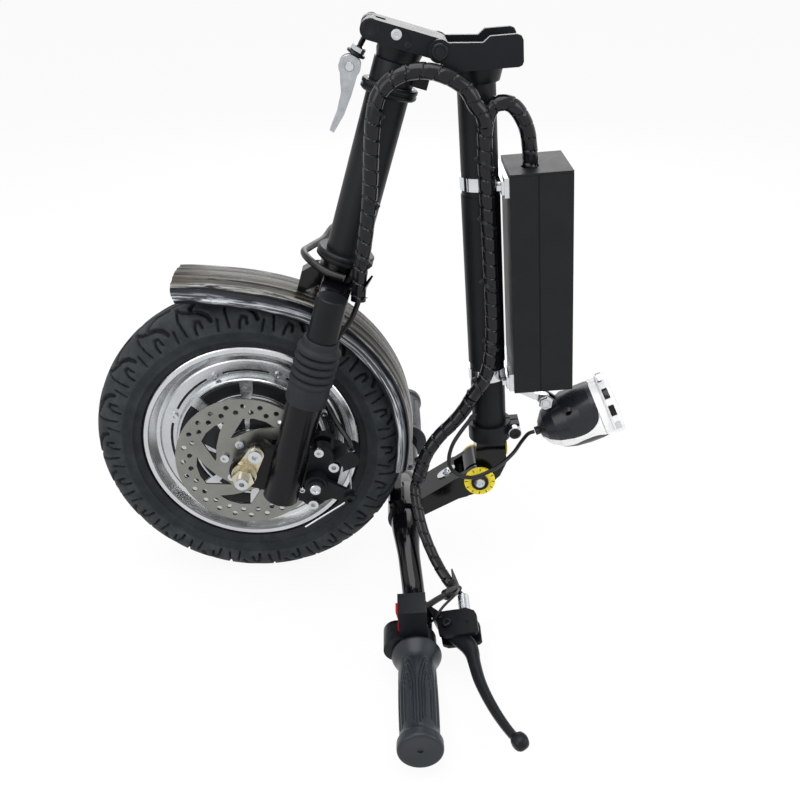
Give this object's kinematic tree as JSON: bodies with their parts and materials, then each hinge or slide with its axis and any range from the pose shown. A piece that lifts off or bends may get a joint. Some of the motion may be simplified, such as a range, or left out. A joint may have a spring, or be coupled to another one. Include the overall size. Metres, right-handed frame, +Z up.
{
  "type": "wheelchair power assist",
  "caption": "Front-wheel electric drive for a manual wheelchair: a hub-motor wheel in a sprung fork, a head tube for a frame clamp, and a folding stem with controller, lamp and handlebar.",
  "frame": {"origin": "middle of the head tube, on the steering axis", "axes": "+Z up, +X to the rear, where the wheelchair is, and the wheel at the front; +Y along the handlebar"},
  "size_m": [0.5386, 0.6243, 0.5583],
  "materials": {
    "powder_coat": "satin",
    "black_alloy": "matte",
    "gloss_black": "gloss",
    "cup_black": "gloss",
    "bearing_steel": "satin",
    "tube_steel": "satin",
    "spring_steel": "satin",
    "bolt_steel": "satin",
    "rotor_steel": "satin",
    "zinc_gold": "satin",
    "polished_alloy": "polished",
    "cover_alloy": "polished",
    "silver_alloy": "satin",
    "bright_strap": "polished",
    "tyre_rubber": "matte",
    "boot_rubber": "matte",
    "grip_rubber": "matte",
    "cable_black": "satin",
    "wrap_plastic": "gloss",
    "fender_plastic": "gloss",
    "black_plastic": "matte",
    "white_plastic": "gloss",
    "yellow_plastic": "gloss",
    "red_plastic": "gloss",
    "lens_clear": "gloss",
    "case_alloy": "matte",
    "board_green": "matte",
    "copper_core": "satin",
    "magnet_steel": "matte",
    "pad_compound": "matte"
  },
  "bodies": {
    "head": {"head_tube": "powder_coat", "headset_cups": "cup_black", "headset_bearings": "bearing_steel"},
    "fork_upper": {"steerer_tube": "tube_steel", "fork_crown": "gloss_black", "stanchions": "black_alloy", "fork_springs": "spring_steel", "steerer_clamp": "black_alloy", "hinge_base": "black_alloy", "hinge_pins": "bolt_steel", "fender": "fender_plastic", "fork_harness": "wrap_plastic"},
    "fork_lower": {"fork_sliders": "black_alloy", "fork_boots": "boot_rubber", "axle": "bolt_steel", "axle_hardware": "zinc_gold", "fork_bolts": "bolt_steel", "stator": "copper_core", "brake_caliper": "black_alloy", "brake_cable": "cable_black", "motor_cable": "cable_black"},
    "wheel": {"tyre": "tyre_rubber", "rim": "polished_alloy", "motor_covers": "cover_alloy", "wheel_bolts": "bolt_steel", "brake_rotor": "rotor_steel", "magnet_ring": "magnet_steel", "hub_bearings": "bearing_steel", "valve_stem": "boot_rubber"},
    "brake_arm": {"caliper_arm": "black_alloy", "brake_wire": "bolt_steel"},
    "brake_pad": {"moving_pad": "pad_compound"},
    "stem": {"stem_hinge_half": "black_alloy", "stem_tube": "powder_coat", "stem_straps": "bright_strap", "controller_box": "case_alloy", "controller_board": "board_green", "controller_brackets": "bright_strap", "stem_collar": "black_alloy", "stem_harness": "wrap_plastic", "lamp_cable": "cable_black"},
    "lamp": {"lamp_body": "black_plastic", "lamp_bezel": "white_plastic", "lamp_lens": "lens_clear"},
    "quill": {"quill": "gloss_black", "angle_pivot": "yellow_plastic", "quill_harness": "wrap_plastic"},
    "handlebar": {"gooseneck": "gloss_black", "bar_clamp_cap": "gloss_black", "handlebar": "gloss_black", "brake_perch": "black_alloy", "throttle_housing": "black_plastic", "plain_grip": "grip_rubber", "bar_harness": "wrap_plastic"},
    "throttle": {"throttle_grip": "grip_rubber"},
    "lever": {"brake_lever": "black_alloy"},
    "rocker": {"switch_rocker": "red_plastic"},
    "latch": {"latch_rod": "bolt_steel"},
    "cam": {"cam_lever": "silver_alloy"}
  },
  "joints": [
    {"name": "steer", "type": "hinge", "parent": "head", "child": "fork_upper", "pos_m": [0, 0, 0], "axis": [0.2756, 0, 0.9613], "range_deg": [-50, 50]},
    {"name": "suspension", "type": "slide", "parent": "fork_upper", "child": "fork_lower", "axis": [0.2756, 0, 0.9613], "range_m": [0, 0.009], "stiffness_N_per_m": 15000, "springref_m": -0.012, "deforming": ["fork_boots", "fork_springs", "brake_cable", "motor_cable"]},
    {"name": "wheel_spin", "type": "hinge", "parent": "fork_lower", "child": "wheel", "pos_m": [-0.12251, 0, -0.2676], "axis": [0, 1, 0], "continuous": true},
    {"name": "fold", "type": "hinge", "parent": "fork_upper", "child": "stem", "pos_m": [0.06332, 0, 0.10834], "axis": [0, -1, 0], "range_deg": [0, 160], "deforming": ["fork_harness"]},
    {"name": "latch_swing", "type": "hinge", "parent": "fork_upper", "child": "latch", "pos_m": [0.00667, 0, 0.12667], "axis": [0, 1, 0], "range_deg": [0, 166.3]},
    {"name": "cam_flip", "type": "hinge", "parent": "latch", "child": "cam", "pos_m": [-0.01191, 0, 0.09409], "axis": [0, -1, 0], "range_deg": [0, 87]},
    {"name": "height", "type": "slide", "parent": "stem", "child": "quill", "axis": [0.0698, 0, -0.9976], "range_m": [0, 0.06], "deforming": ["quill_harness"]},
    {"name": "gooseneck_angle", "type": "hinge", "parent": "quill", "child": "handlebar", "pos_m": [0.10992, 0, -0.31443], "axis": [0, -1, 0], "range_deg": [0, 60], "deforming": ["bar_harness"]},
    {"name": "throttle_twist", "type": "hinge", "parent": "handlebar", "child": "throttle", "pos_m": [0.03989, -0.24, -0.39477], "axis": [0, 1, 0], "range_deg": [0, 60], "stiffness_Nm_per_rad": 0.3, "springref_deg": -28.65},
    {"name": "lever_pull", "type": "hinge", "parent": "handlebar", "child": "lever", "pos_m": [0.07065, -0.1685, -0.38595], "axis": [0.2756, 0, -0.9613], "range_deg": [0, 20], "stiffness_Nm_per_rad": 1.5, "springref_deg": -17.19},
    {"name": "caliper_swing", "type": "hinge", "parent": "fork_lower", "child": "brake_arm", "pos_m": [-0.0537, -0.08, -0.27797], "axis": [0, -1, 0], "range_deg": [0, 15], "deforming": ["brake_wire"]},
    {"name": "pad_slide", "type": "slide", "parent": "fork_lower", "child": "brake_pad", "axis": [0, 1, 0], "range_m": [0, 0.0008]},
    {"name": "rocker_tip", "type": "hinge", "parent": "handlebar", "child": "rocker", "pos_m": [0.02583, -0.1716, -0.36568], "axis": [0, 1, 0], "range_deg": [0, 12]},
    {"name": "lamp_tilt", "type": "hinge", "parent": "stem", "child": "lamp", "pos_m": [0.1752, 0, -0.23121], "axis": [0, 1, 0], "range_deg": [-20, 20], "deforming": ["lamp_cable"]}
  ],
  "couplings": [
    {"joint": "caliper_swing", "follows": "lever_pull", "ratio": 0.7},
    {"joint": "pad_slide", "follows": "lever_pull", "m_per_rad": 0.002},
    {"joint": "cam_flip", "follows": "latch_swing", "ratio": 0.52}
  ]
}
